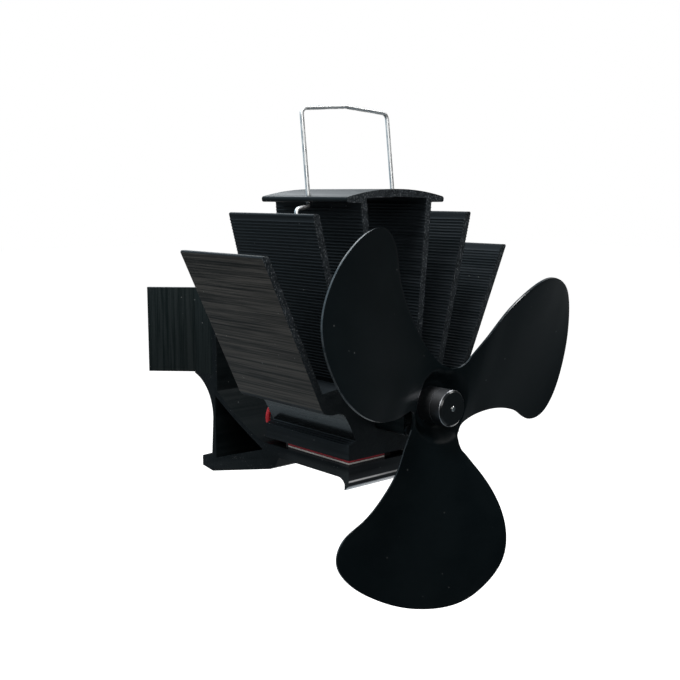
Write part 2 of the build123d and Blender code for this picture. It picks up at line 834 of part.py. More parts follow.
# Terminals, from the brushes through the end cap into the trunk's bore
with BuildPart() as motor_terminals:
    with BuildSketch(Plane.XZ.offset(-y_front - tab_len)):
        with Locations((-tab_x, z_hub), (tab_x, z_hub)):
            Rectangle(tab_t, tab_w)
    extrude(amount=y_front + tab_len - y_commutator)
motor_terminals.part.label = "motor_terminals"
export_step(motor_terminals.part, "parts/motor_terminals.step")

# Motor shaft, from the rear bush to the nose of the hub
y_floor = y_web + dish_depth
y_nose = y_web - hub_nose
with BuildPart() as motor_shaft:
    with BuildSketch(Plane.XZ.offset(-y_front + shaft_tail)):
        with Locations((0, z_hub)):
            Circle(shaft_r)
    extrude(amount=y_front - shaft_tail - y_nose + shaft_proud)
    chamfer(motor_shaft.edges().sort_by(Axis.Y)[0], length=shaft_proud / 2)
motor_shaft.part.label = "motor_shaft"
export_step(motor_shaft.part, "parts/motor_shaft.step")

# Hub bushing, riveted through the floor of the propeller's dish
hub_bore = shaft_r + fit_clear
y_rivet = y_floor + blade_t + rivet_t
with BuildPart() as hub_bushing:
    revolve(
        ring_section(
            (hub_bore, y_web),
            (hub_r, y_web),
            (hub_r, y_floor),
            (spigot_r, y_floor),
            (spigot_r, y_floor + blade_t),
            (rivet_r, y_floor + blade_t),
            (rivet_r, y_rivet),
            (hub_bore, y_rivet),
        ),
        axis=hub_axis,
    )
hub_bushing.part.label = "hub_bushing"
export_step(hub_bushing.part, "parts/hub_bushing.step")

# Hub cap in front of it, with a bevelled rim
with BuildPart() as hub_cap:
    revolve(
        ring_section(
            (hub_bore, y_web),
            (hub_r - hub_groove, y_web),
            (hub_r, y_web - hub_groove),
            (hub_r, y_nose + hub_bevel),
            (hub_r - hub_bevel, y_nose),
            (hub_bore, y_nose),
        ),
        axis=hub_axis,
    )
hub_cap.part.label = "hub_cap"
export_step(hub_cap.part, "parts/hub_cap.step")

# One blade about an axis through the origin, pointing to +X: a pitched and cambered
# sheet, cut to the blade's outline
valley_point = (valley_r * cos(radians(180 / blades)), valley_r * sin(radians(180 / blades)))
with BuildPart() as blade:
    for at, slope, camber in zip(blade_station_shares, blade_slope_shares, blade_camber_shares):
        front = []
        rear = []
        for share in blade_width_shares:
            v = share * blade_r
            rise = slope * share + camber * share ** 2
            steep = min(1, -slope / blade_steep_share)
            rise = (rise + blade_cubic_share * share ** 3 * steep) * blade_r
            front.append((y_web + rise, v))
            rear.append((y_web + rise + blade_t, v))
        with BuildSketch(Plane.YZ.offset(at * blade_r)):
            with BuildLine():
                Spline(*front)
                Line(front[-1], rear[-1])
                Spline(*reversed(rear))
                Line(rear[0], front[0])
            make_face()
    loft()
    with BuildSketch(Plane.XZ.offset(-y_front)):
        with BuildLine():
            start = (valley_point[0], -valley_point[1])
            end = valley_point
            edge = [(a * blade_r, b * blade_r) for a, b in blade_edge_shares]
            valley_out = [(a * blade_r, b * blade_r) for a, b in valley_out_shares]
            valley_in = [(a * blade_r, b * blade_r) for a, b in valley_in_shares]
            Bezier(start, *valley_out, edge[0])
            Spline(*edge)
            Bezier(edge[-1], *valley_in, end)
            foot = blade_station_shares[0] * blade_r
            inner = (foot, foot * end[1] / end[0])
            Polyline(end, inner, (inner[0], -inner[1]), start)
        make_face()
    extrude(amount=blade_r, mode=Mode.INTERSECT)

# Propeller: three blades on a web round a dished centre
with BuildPart() as propeller_blades:
    with BuildSketch(Plane.XZ.offset(-y_web - blade_t)):
        Circle(valley_r - blade_t / 2)
    extrude(amount=blade_t)
    for n in range(blades):
        turn = first_blade_angle + n * 360 / blades
        add(blade.part, rotation=(0, -turn, 0))
    with BuildSketch(Plane.XZ.offset(-y_web - blade_r)):
        Circle(dish_r)
    extrude(amount=2 * blade_r, mode=Mode.SUBTRACT)
    with BuildSketch(Plane.YZ):
        with BuildLine():
            Polyline(
                (y_floor, spigot_r + run_clear),
                (y_floor, dish_floor_r),
                (y_web, dish_r),
                (y_web + blade_t, dish_r),
                (y_floor + blade_t, dish_floor_r),
                (y_floor + blade_t, spigot_r + run_clear),
                close=True,
            )
        make_face()
    revolve(axis=Axis.Y)
propeller = propeller_blades.part.moved(Location((0, 0, z_hub)))
propeller.label = "propeller_blades"
export_step(propeller, "parts/propeller_blades.step")

# Leads: each a run of straights and tangent arcs, made whole
def lead_radius(points, caps):
    radii = []
    for n in range(1, len(points) - 1):
        a, b, c = (Vector(*p) for p in points[n - 1:n + 2])
        run = min((b - a).length, (c - b).length)
        turn = radians((b - a).get_angle(c - b))
        radii.append(min(caps[n - 1], 0.45 * run / tan(turn / 2)))
    return radii


y_lead = y_front + teg_from_front + teg_side
z_lead = z_slab_top + stack_h / 2
for name, side in (("lead_red", -1), ("lead_black", 1)):
    x_lead = side * lead_out_x
    route = [(x_lead, y_lead, z_lead), (x_lead, y_lead + lead_out_run, z_lead)]
    route += [(side * x, y, z) for x, y, z in lead_points]
    route.append((side * tab_x, y_front + tab_len, z_hub))
    radii = lead_radius(route, lead_radii)
    with BuildPart() as lead:
        with BuildLine() as lead_path:
            FilletPolyline(*route, radius=radii)
        with BuildSketch(lead_path.line ^ 0):
            Circle(lead_r)
        sweep()
    length = sum(e.length for e in lead_path.line.edges())
    print(name, "radii", [round(r, 1) for r in radii], "length", round(length, 1))
    print(name, "volume", round(lead.part.volume, 1), round(pi * lead_r ** 2 * length, 1))
    lead.part.label = name
    export_step(lead.part, "parts/" + name + ".step")
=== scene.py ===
import math

import bpy
import numpy as np
from mathutils import Matrix, Vector


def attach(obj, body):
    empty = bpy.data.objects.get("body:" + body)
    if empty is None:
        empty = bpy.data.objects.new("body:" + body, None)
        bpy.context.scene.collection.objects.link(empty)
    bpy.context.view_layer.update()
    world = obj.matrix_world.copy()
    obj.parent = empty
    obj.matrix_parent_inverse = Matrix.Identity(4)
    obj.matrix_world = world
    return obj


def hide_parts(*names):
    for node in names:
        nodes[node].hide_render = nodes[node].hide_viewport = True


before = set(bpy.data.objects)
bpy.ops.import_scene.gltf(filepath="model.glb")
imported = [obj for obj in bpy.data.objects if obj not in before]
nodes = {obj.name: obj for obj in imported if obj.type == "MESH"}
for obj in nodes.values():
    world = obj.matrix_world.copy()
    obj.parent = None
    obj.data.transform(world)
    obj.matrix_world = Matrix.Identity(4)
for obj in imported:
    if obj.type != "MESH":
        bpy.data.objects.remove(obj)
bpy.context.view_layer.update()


# Camera: it stands in front of the fan, left of it and a little above the hub, about
# 0.43 m away. Its place was solved from the corners of the heat sink.
camera_place = (-0.317955, -0.441263, 0.140043)
camera_azimuth = math.radians(-41.148)
camera_elevation = math.radians(8.276)
camera_back = Vector((
    math.sin(camera_azimuth) * math.cos(camera_elevation),
    -math.cos(camera_azimuth) * math.cos(camera_elevation),
    math.sin(camera_elevation),
))
camera_right = Vector((math.cos(camera_azimuth), math.sin(camera_azimuth), 0))
camera_up = camera_back.cross(camera_right)
camera_data = bpy.data.cameras.new("camera")
camera_data.sensor_width = 36
camera_data.lens = 53.787
camera_data.clip_start = 0.02
camera = bpy.data.objects.new("camera", camera_data)
bpy.context.scene.collection.objects.link(camera)
camera.matrix_world = Matrix.Translation(camera_place) @ Matrix(
    (camera_right, camera_up, camera_back)
).transposed().to_4x4()
bpy.context.scene.camera = camera


# Studio: a pale floor well below the hanging fan, pale surroundings that show white to the
# camera, and four soft lamps.
scene = bpy.context.scene
scene.view_settings.view_transform = "Standard"


def wire(tree, start, end):
    """Links one socket to another, each given as (node, socket name or number)."""
    tree.links.new(start[0].outputs[start[1]], end[0].inputs[end[1]])


def feed(tree, value, end):
    """Gives a socket a number, a colour, or the output that a (node, socket) pair names."""
    if isinstance(value, (int, float)):
        end[0].inputs[end[1]].default_value = value
    elif hasattr(value[0], "outputs"):
        wire(tree, value, end)
    else:
        end[0].inputs[end[1]].default_value = (*value, 1)


def ramp(tree, source, low, high, start=0.0, end=1.0):
    """A value taken from one range to another, held at its ends."""
    node = tree.nodes.new("ShaderNodeMapRange")
    node.interpolation_type = "SMOOTHSTEP"
    node.inputs["From Min"].default_value = low
    node.inputs["From Max"].default_value = high
    node.inputs["To Min"].default_value = start
    node.inputs["To Max"].default_value = end
    wire(tree, source, (node, "Value"))
    return node, 0


def combine(tree, mode, first, second):
    """A Math node on two sockets or numbers."""
    node = tree.nodes.new("ShaderNodeMath")
    node.operation = mode
    feed(tree, first, (node, 0))
    feed(tree, second, (node, 1))
    return node, 0


def tint(tree, mask, low, high):
    """A colour between two, by a mask."""
    node = tree.nodes.new("ShaderNodeMix")
    node.data_type = "RGBA"
    wire(tree, mask, (node, 0))
    feed(tree, low, (node, 6))
    feed(tree, high, (node, 7))
    return node, 2


def coordinates(tree, kind="Object"):
    """The place of a point on a piece or, with "Generated" in a world, its direction."""
    return tree.nodes.new("ShaderNodeTexCoord"), kind


def axes(tree, place):
    """A node with the X, Y and Z of a place."""
    node = tree.nodes.new("ShaderNodeSeparateXYZ")
    wire(tree, place, (node, 0))
    return node


world = bpy.data.worlds.new("studio")
scene.world = world
world.use_nodes = True
tree = world.node_tree
surroundings = tree.nodes["Background"]
rays = tree.nodes.new("ShaderNodeLightPath")
at = axes(tree, coordinates(tree, "Generated"))
white = (1, 1, 1)
wall_edge = (0.42, 0.75)
diffuse_level = 0.36

# Reflections see a darker bluish room, with a pale wall behind the fan on the right
wall = combine(tree, "MULTIPLY", ramp(tree, (at, "X"), *wall_edge, 0.0, 0.7),
               ramp(tree, (at, "Y"), 0.2, 0.6))
above = combine(tree, "MULTIPLY", ramp(tree, (at, "Z"), 0.05, 0.42, 0.15, 0.85),
                ramp(tree, (at, "Y"), 0.1, 0.6))
dim = combine(tree, "ADD", ramp(tree, (at, "Y"), -0.9, 0.0, 0.03, 0.21), above)
room = combine(tree, "MINIMUM", combine(tree, "ADD", wall, dim), 1.0)
reflected = combine(tree, "MULTIPLY", room, (rays, "Is Glossy Ray"))
shown = combine(tree, "MAXIMUM", (rays, "Is Camera Ray"), (rays, "Is Transmission Ray"))
plain = combine(tree, "MULTIPLY", (rays, "Is Diffuse Ray"), diffuse_level)
level = combine(tree, "MAXIMUM", combine(tree, "MAXIMUM", shown, reflected), plain)
wire(tree, level, (surroundings, "Strength"))
left_of_wall = combine(tree, "MULTIPLY", ramp(tree, (at, "X"), *wall_edge, 1.0, 0.0),
                       (rays, "Is Glossy Ray"))
wire(tree, tint(tree, left_of_wall, white, (0.63, 0.85, 1.0)), (surroundings, "Color"))

floor_z, floor_size = -0.24, 12
floor_shown = 0.785
bpy.ops.object.select_all(action="DESELECT")
bpy.ops.mesh.primitive_plane_add(size=floor_size, location=(0, 0, floor_z))
floor = bpy.context.object
floor.name = "studio_floor"
floor_paint = bpy.data.materials.new("studio_floor")
floor_paint.use_nodes = True
tree = floor_paint.node_tree
paper = tree.nodes["Principled BSDF"]
paper.inputs["Roughness"].default_value = 0.9
paper.inputs["Specular IOR Level"].default_value = 0.1
rays = tree.nodes.new("ShaderNodeLightPath")
at = axes(tree, coordinates(tree))
# The floor's own tone in reflections: dark far in front, pale to the right and behind
front = combine(tree, "MULTIPLY", ramp(tree, (at, "Y"), -1.0, -0.1, 0.05, 0.5),
                ramp(tree, (at, "X"), -0.4, 0.05, 0.3, 1.0))
behind = combine(tree, "MULTIPLY", ramp(tree, (at, "X"), 0.1, 0.6, 0.0, 0.6),
                 ramp(tree, (at, "Y"), -0.2, 0.2))
mirrored_tone = combine(tree, "MULTIPLY", combine(tree, "ADD", front, behind),
                        (rays, "Is Glossy Ray"))
camera_tone = combine(tree, "MULTIPLY", (rays, "Is Camera Ray"), floor_shown)
wire(tree, combine(tree, "MAXIMUM", camera_tone, mirrored_tone), (paper, "Emission Strength"))
wire(tree, tint(tree, (rays, "Is Glossy Ray"), (0.6, 0.6, 0.6), (0, 0, 0)),
     (paper, "Base Color"))
mirrored_dark = combine(tree, "MULTIPLY", ramp(tree, mirrored_tone, 0.3, 0.7, 1.0, 0.0),
                        (rays, "Is Glossy Ray"))
wire(tree, tint(tree, mirrored_dark, white, (0.68, 0.88, 1.0)), (paper, "Emission Color"))
floor.data.materials.append(floor_paint)


def soft_lamp(name, place, aim, size, power):
    """A square soft box at a place, turned to a point of the fan."""
    bpy.ops.object.select_all(action="DESELECT")
    bpy.ops.object.light_add(type="AREA", location=place)
    lamp = bpy.context.object
    lamp.name = name
    lamp.data.size = size
    lamp.data.energy = power
    lamp.rotation_mode = "QUATERNION"
    lamp.rotation_quaternion = (Vector(aim) - Vector(place)).to_track_quat("-Z", "Y")


fan_middle = (0, -0.12, 0.05)
soft_lamp("lamp_key", (-0.52, -0.97, 0.52), fan_middle, 0.45, 3.0)
soft_lamp("lamp_left", (-0.35, -0.25, 1.1), fan_middle, 0.4, 14)
soft_lamp("lamp_right", (0.70, -0.50, 0.94), fan_middle, 0.35, 3)
soft_lamp("lamp_back", (0.5, 1.1, 0.8), (0, -0.1, 0.05), 0.7, 4)


# Drawn grain and dust, each a group that the finishes below share; the saw marks are made
# in each sawn finish. They give only colours, masks and normals that change over the surface.
def group_of(name, inputs, outputs):
    """A new shader node group with its named inputs and outputs."""
    made = bpy.data.node_groups.new(name, "ShaderNodeTree")
    for label, kind, value in inputs:
        socket = made.interface.new_socket(label, in_out="INPUT", socket_type=kind)
        socket.default_value = value
    for label, kind in outputs:
        made.interface.new_socket(label, in_out="OUTPUT", socket_type=kind)
    return made, made.nodes.new("NodeGroupInput"), made.nodes.new("NodeGroupOutput")


def noise(tree, place, scale, detail=3.0):
    """A Noise node on a place, which is a (node, socket) pair."""
    node = tree.nodes.new("ShaderNodeTexNoise")
    node.inputs["Scale"].default_value = scale
    node.inputs["Detail"].default_value = detail
    wire(tree, place, (node, "Vector"))
    return node, "Fac"


def weighed(tree, first, share, second):
    """Two values added up, the first with its share and the second with the rest."""
    return combine(tree, "ADD", combine(tree, "MULTIPLY", first, share),
                   combine(tree, "MULTIPLY", second, 1 - share))


streak_group, g_in, g_out = group_of(
    "drawn_streaks",
    [("Place", "NodeSocketVector", (0, 0, 0)), ("Dark", "NodeSocketColor", (0, 0, 0, 1)),
     ("Light", "NodeSocketColor", (1, 1, 1, 1)), ("Rough Low", "NodeSocketFloat", 0.3),
     ("Rough High", "NodeSocketFloat", 0.5)],
    [("Color", "NodeSocketColor"), ("Roughness", "NodeSocketFloat"),
     ("Height", "NodeSocketFloat")],
)
tree = streak_group
mask = ramp(tree, weighed(tree, noise(tree, (g_in, "Place"), 800, 2.0), 0.45,
                          noise(tree, (g_in, "Place"), 180)), 0.38, 0.62)
wire(tree, tint(tree, mask, (g_in, "Dark"), (g_in, "Light")), (g_out, "Color"))
rough = tree.nodes.new("ShaderNodeMapRange")
wire(tree, mask, (rough, "Value"))
wire(tree, (g_in, "Rough Low"), (rough, "To Min"))
wire(tree, (g_in, "Rough High"), (rough, "To Max"))
wire(tree, (rough, 0), (g_out, "Roughness"))
wire(tree, mask, (g_out, "Height"))

dust_group, g_in, g_out = group_of(
    "dust_specks",
    [("Color", "NodeSocketColor", (0, 0, 0, 1)), ("Scale", "NodeSocketFloat", 420),
     ("Amount", "NodeSocketFloat", 0.5)],
    [("Color", "NodeSocketColor")],
)
tree = dust_group
cells = tree.nodes.new("ShaderNodeTexVoronoi")
wire(tree, coordinates(tree), (cells, "Vector"))
wire(tree, (g_in, "Scale"), (cells, "Scale"))
spot = ramp(tree, (cells, "Distance"), 0.05, 0.16, 1.0, 0.0)
pick = tree.nodes.new("ShaderNodeSeparateColor")
wire(tree, (cells, "Color"), (pick, 0))
few = ramp(tree, (pick, 0), 0.93, 0.97)
speck = combine(tree, "MULTIPLY", combine(tree, "MULTIPLY", spot, few), (g_in, "Amount"))
wire(tree, tint(tree, speck, (g_in, "Color"), (0.42, 0.44, 0.44)), (g_out, "Color"))


def dusted(tree, colour, scale, amount):
    """A colour with pale specks of dust on it."""
    specks = tree.nodes.new("ShaderNodeGroup")
    specks.node_tree = dust_group
    feed(tree, colour, (specks, "Color"))
    feed(tree, scale, (specks, "Scale"))
    feed(tree, amount, (specks, "Amount"))
    return specks, "Color"


def finish_of(name, specular=0.5, metallic=0.0, coat=0.0):
    """A new material and its shader, with the values that are the same all over it."""
    made = bpy.data.materials.new(name)
    made.use_nodes = True
    shader = made.node_tree.nodes["Principled BSDF"]
    shader.inputs["Specular IOR Level"].default_value = specular
    shader.inputs["Metallic"].default_value = metallic
    shader.inputs["Coat Weight"].default_value = coat
    shader.inputs["Coat Roughness"].default_value = 0.1
    return made, made.node_tree, shader


def roughened(tree, shader, mask, low, high):
    """Roughness between two values, by a mask."""
    wire(tree, ramp(tree, mask, 0, 1, low, high), (shader, "Roughness"))


def relief(tree, shader, source, depth):
    """A Bump node of a depth in metres on the shader's normal."""
    bump = tree.nodes.new("ShaderNodeBump")
    bump.inputs["Distance"].default_value = depth
    wire(tree, source, (bump, "Height"))
    wire(tree, (bump, 0), (shader, "Normal"))


def drawn_finish(name, stretch, dark, light, rough, specular, depth, dust):
    """Aluminium drawn through a die and blackened: streaks run where stretch is small."""
    made, tree, shader = finish_of(name, specular)
    mapping = tree.nodes.new("ShaderNodeMapping")
    mapping.inputs["Scale"].default_value = stretch
    wire(tree, coordinates(tree), (mapping, "Vector"))
    streaks = tree.nodes.new("ShaderNodeGroup")
    streaks.node_tree = streak_group
    for label, value in (("Place", (mapping, "Vector")), ("Dark", dark), ("Light", light),
                         ("Rough Low", rough[0]), ("Rough High", rough[1])):
        feed(tree, value, (streaks, label))
    wire(tree, dusted(tree, (streaks, "Color"), 420, dust), (shader, "Base Color"))
    wire(tree, (streaks, "Roughness"), (shader, "Roughness"))
    relief(tree, shader, (streaks, "Height"), depth)
    return made


def sawn_finish(name, dark, light, specular=0.3, dust=0.7, foot=None, burrs=0.0):
    """A saw-cut end: speckled, lighter where the saw has torn the black, with pale burrs.
    Its foot, given as the two heights it fades between, can be darker."""
    made, tree, shader = finish_of(name, specular)
    place = coordinates(tree)
    grain = weighed(tree, noise(tree, place, 1700, 2.0), 0.6, noise(tree, place, 300))
    mask = ramp(tree, grain, 0.38, 0.66)
    torn = ramp(tree, noise(tree, place, 1300), 0.56, 0.63, 0.0, burrs)
    colour = tint(tree, torn, tint(tree, mask, dark, light), (0.16, 0.175, 0.185))
    if foot:
        high = ramp(tree, (axes(tree, place), "Z"), *foot)
        colour = tint(tree, high, dark, colour)
        dust = combine(tree, "MULTIPLY", high, dust)
    wire(tree, dusted(tree, colour, 700, dust), (shader, "Base Color"))
    roughened(tree, shader, mask, 0.42, 0.6)
    relief(tree, shader, grain, 0.00018)
    return made


# Heat sink: one black aluminium extrusion along the depth, sawn to length. Its fins, its
# two inner legs and their channels carry fine ribs, and the outermost faces are plain.
rib_pitch = 0.00145
rib_depth = 0.00026
rib_shares = ((0.0, 0.0), (0.56, 0.0), (0.66, 0.55), (0.78, 1.0), (0.90, 0.55))
sink_front, sink_rear = -0.1161, -0.0559
sink_middle = (sink_front + sink_rear) / 2
tips_z = 0.1147
hub_z = 0.04795


def ribbed(start, end, plain_start, plain_end, side):
    """Points from start to end with ribs between the two plain ends, cut in on one side."""
    a, b = Vector(start), Vector(end)
    run = (b - a).length
    along = (b - a) / run
    inward = Vector((-along.y, along.x)) * side
    count = int((run - plain_start - plain_end) / rib_pitch)
    first = plain_start + (run - plain_start - plain_end - count * rib_pitch) / 2
    points = [a]
    for n in range(count):
        for share, cut in rib_shares:
            points.append(a + along * (first + (n + share) * rib_pitch)
                          + inward * cut * rib_depth)
    points.append(a + along * (first + count * rib_pitch))
    points.append(b)
    return [tuple(p) for p in points]


def rounded(corner, before, after, radius, steps=4):
    """Points of an arc that rounds one corner between its neighbours."""
    c, p, q = Vector(corner), Vector(before), Vector(after)
    u, v = (p - c).normalized(), (q - c).normalized()
    half = u.angle(v) / 2
    reach = radius / math.tan(half)
    centre = c + (u + v).normalized() * (radius / math.sin(half))
    start, end = c + u * reach - centre, c + v * reach - centre
    points = []
    for k in range(steps + 1):
        share = k / steps
        arm = (start * (1 - share) + end * share).normalized() * radius
        points.append(tuple(centre + arm))
    return points


def curve_through(points, steps):
    """A smooth run through the given points."""
    out = []
    ends = [points[0]] + list(points) + [points[-1]]
    for n in range(1, len(ends) - 2):
        p0, p1, p2, p3 = (Vector(ends[n + k]) for k in (-1, 0, 1, 2))
        for k in range(steps):
            t = k / steps
            out.append(tuple(0.5 * (
                2 * p1 + (p2 - p0) * t + (2 * p0 - 5 * p1 + 4 * p2 - p3) * t * t
                + (3 * p1 - p0 - 3 * p2 + p3) * t ** 3
            )))
    out.append(tuple(points[-1]))
    return out


def arch(radius, top, x_start, x_end, steps):
    """Points of a round arch whose crown is at x = 0."""
    xs = [x_start + (x_end - x_start) * k / steps for k in range(steps + 1)]
    return [(x, top - radius + math.sqrt(radius ** 2 - x ** 2)) for x in xs]


cove = curve_through([
    (0.02540, 0.03105), (0.02461, 0.03140), (0.02679, 0.03608), (0.02919, 0.04050),
    (0.03209, 0.04440), (0.03501, 0.04495), (0.03839, 0.04470), (0.04260, 0.04580),
], 6)
outer_foot, outer_tip, outer_tip_in = (0.0440, 0.0475), (0.0754, tips_z), (0.0718, tips_z)
outer_valley, mid_valley = (0.04378, 0.05473), (0.0296, 0.05663)
mid_tip, mid_tip_in, inner_valley = (0.0488, 0.1310), (0.0453, 0.1310), (0.02622, 0.0571)
foot_round, tip_round, plate_round, cap_round, leg_round = 0.0006, 0.0008, 0.0003, 0.0011, 0.0004
foot_margin, tip_margin, leg_margin = 0.0008, 0.0012, 0.0010
half_outline = [(0.0, 0.02265)]
half_outline += rounded((0.02865, 0.02265), (0, 0.02265), (0.02865, 0.0297), plate_round, 2)
half_outline += rounded((0.02865, 0.0297), (0.02865, 0.023), (0.0282, 0.0298), plate_round, 2)
half_outline += [(0.0280, 0.02985), (0.0279, 0.02955), (0.0275, 0.02975), (0.0274, 0.0302)]
half_outline += [(0.0267, 0.03045), (0.0266, 0.03025), (0.0262, 0.03045), (0.0261, 0.0308)]
half_outline += cove
half_outline += rounded(outer_foot, (0.0426, 0.0458), outer_tip, foot_round, 3)
half_outline += rounded(outer_tip, outer_foot, outer_tip_in, tip_round)
half_outline += rounded(outer_tip_in, outer_tip, outer_valley, tip_round)
half_outline += ribbed((0.07130, 0.11365), outer_valley, tip_margin, foot_margin, -1)
half_outline += ribbed(mid_valley, (0.04842, 0.12950), foot_margin, tip_margin, -1)
half_outline += rounded(mid_tip, mid_valley, mid_tip_in, tip_round)
half_outline += rounded(mid_tip_in, mid_tip, inner_valley, tip_round)
half_outline += ribbed((0.04500, 0.12985), inner_valley, tip_margin, foot_margin, -1)
half_outline += ribbed((0.01478, 0.05868), (0.02155, 0.13460), foot_margin, foot_margin, -1)
half_outline += rounded((0.02164, 0.1356), (0.0216, 0.1346), (0.0298, 0.1356), leg_round, 2)
half_outline += rounded((0.0298, 0.1356), (0.0216, 0.1356), (0.0298, 0.138), cap_round, 5)
half_outline += rounded((0.0298, 0.13804), (0.0298, 0.1356), (0.0270, 0.13867), cap_round, 5)
half_outline += arch(0.130, 0.1415, 0.0285, 0.0, 26)[1:]
half_channel = ribbed((0.01148, 0.0587), (0.01842, 0.13650), foot_margin, leg_margin, 1)
half_channel += rounded((0.01851, 0.1374), (0.01842, 0.1365), (0.0150, 0.1376), leg_round, 2)
half_channel += arch(0.30, 0.1380, 0.0174, 0.0, 16)[1:]


def mirrored(half):
    """The whole closed loop of a half section that starts and ends on the middle line."""
    back = [(-x, z) for x, z in reversed(half) if abs(x) > 1e-6]
    loop = half + back
    kept = [loop[0]]
    for point in loop[1:]:
        if (Vector(point) - Vector(kept[-1])).length > 2e-5:
            kept.append(point)
    return kept


outline, channel = mirrored(half_outline), mirrored([(0.0, 0.0587)] + half_channel)


def loops_mesh(name, loops, place):
    """A new object whose mesh is closed loops of vertices, each set down by place()."""
    bpy.ops.object.select_all(action="DESELECT")
    bpy.ops.mesh.primitive_circle_add(vertices=len(loops[0]), radius=1, fill_type="NOTHING")
    made = bpy.context.object
    made.name = name
    bpy.ops.object.mode_set(mode="EDIT")
    for loop in loops[1:]:
        bpy.ops.mesh.primitive_circle_add(vertices=len(loop), radius=2, fill_type="NOTHING")
    bpy.ops.object.mode_set(mode="OBJECT")
    points = [place(*p) for loop in loops for p in loop]
    made.data.vertices.foreach_set("co", [c for p in points for c in p])
    made.location = (0, 0, 0)
    return made


def whole_mesh(*steps):
    """Takes each step of Edit Mode, an operator with its values, on all of the active mesh."""
    bpy.ops.object.mode_set(mode="EDIT")
    for step, values in steps:
        bpy.ops.mesh.select_all(action="SELECT")
        step(**values)
    bpy.ops.object.mode_set(mode="OBJECT")


def only(piece):
    """Makes a piece the one that is selected and active."""
    bpy.ops.object.select_all(action="DESELECT")
    piece.select_set(True)
    bpy.context.view_layer.objects.active = piece


def bored(made, spots, radius, direction, length):
    """Cuts round holes through a piece, each with its middle at a spot."""
    for spot in spots:
        bpy.ops.object.select_all(action="DESELECT")
        bpy.ops.mesh.primitive_cylinder_add(vertices=40, radius=radius, depth=length,
                                            location=spot)
        cutter = bpy.context.object
        if direction == "Y":
            cutter.rotation_euler = (math.pi / 2, 0, 0)
        bpy.context.view_layer.update()
        only(made)
        cut = made.modifiers.new("bore", "BOOLEAN")
        cut.operation = "DIFFERENCE"
        cut.object = cutter
        bpy.ops.object.modifier_apply(modifier="bore")
        bpy.data.objects.remove(cutter)


def smoothed(made, degrees):
    """Smooth shading up to an angle."""
    only(made)
    bpy.ops.object.shade_smooth_by_angle(angle=math.radians(degrees))


def coated(piece, *finishes):
    """Gives a piece its finishes, numbered from 0 for its faces."""
    piece.data.materials.clear()
    for finish in finishes:
        piece.data.materials.append(finish)


sink = loops_mesh("heat_sink_ribbed", [outline, channel], lambda x, z: (x, sink_front, z))
whole_mesh(
    (bpy.ops.mesh.fill, {"use_beauty": True}),
    (bpy.ops.mesh.extrude_region_move,
     {"TRANSFORM_OT_translate": {"value": (0, sink_rear - sink_front, 0)}}),
    (bpy.ops.mesh.normals_make_consistent, {"inside": False}),
)
bored(sink, [(side * 0.0263, sink_middle, 0.137) for side in (-1, 1)], 0.0013, "Z", 0.012)
bored(sink, [(0, sink_middle, hub_z)], 0.008, "Y", 0.08)
fin_black = drawn_finish("fin_black", (1, 0.02, 1), (0.0050, 0.0070, 0.0084),
                         (0.0112, 0.0145, 0.0172), (0.42, 0.56), 0.15, 0.00002, 0.35)
fin_plain = drawn_finish("fin_plain_face", (5.5, 0.05, 5.5), (0.0110, 0.0114, 0.0108),
                         (0.0650, 0.0633, 0.0590), (0.40, 0.55), 0.1, 0.00002, 0.3)
fin_sawn = sawn_finish("fin_sawn_end", (0.0035, 0.0056, 0.0070), (0.021, 0.026, 0.031),
                       foot=(0.045, 0.085), burrs=0.45)
fin_smooth = drawn_finish("fin_smooth_cove", (1, 0.02, 1), (0.0065, 0.0080, 0.0088),
                          (0.0150, 0.0175, 0.0185), (0.20, 0.30), 0.5, 0.00001, 0.2)
coated(sink, fin_black, fin_sawn, fin_plain, fin_smooth)
outer_lean = (outer_tip[0] - outer_foot[0]) / (outer_tip[1] - outer_foot[1])
for face in sink.data.polygons:
    across, height = abs(face.center.x), face.center.z
    outward = face.normal.x * face.center.x > 0 and face.normal.z < -0.2
    off_plane = across - outer_foot[0] - (height - outer_foot[1]) * outer_lean
    if abs(face.normal.y) > 0.9:
        face.material_index = 1
    elif 0.0243 < across < 0.0435 and 0.031 < height < 0.0462:
        face.material_index = 3
    elif across > 0.0438 and outward and abs(off_plane) < foot_round:
        face.material_index = 2
smoothed(sink, 50)
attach(sink, "frame")
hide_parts("heat_sink")


# Wire handle: one piece of 2 mm bright spring wire, bent cold, with faint wear in its gloss.
# Its ends are hooked under the cap, through the two small holes bored above.
def steel_finish(name, colour, rough, scale=900, worn=0.78):
    """Bright or plated steel with fine wear in its gloss."""
    made, tree, shader = finish_of(name, metallic=1.0)
    mask = ramp(tree, noise(tree, coordinates(tree), scale), 0.35, 0.65)
    wire(tree, tint(tree, mask, tuple(c * worn for c in colour), colour),
         (shader, "Base Color"))
    roughened(tree, shader, mask, rough * 1.5, rough)
    relief(tree, shader, mask, 0.000004)
    return made


def dress(node, finish, degrees=None):
    """Gives a CAD node its finish."""
    piece = nodes[node]
    coated(piece, finish)
    if degrees:
        smoothed(piece, degrees)
    return piece


bright_wire = steel_finish("bright_wire", (0.98, 0.98, 0.97), 0.40, 300, 0.96)
dress("handle_bail", bright_wire, 40)


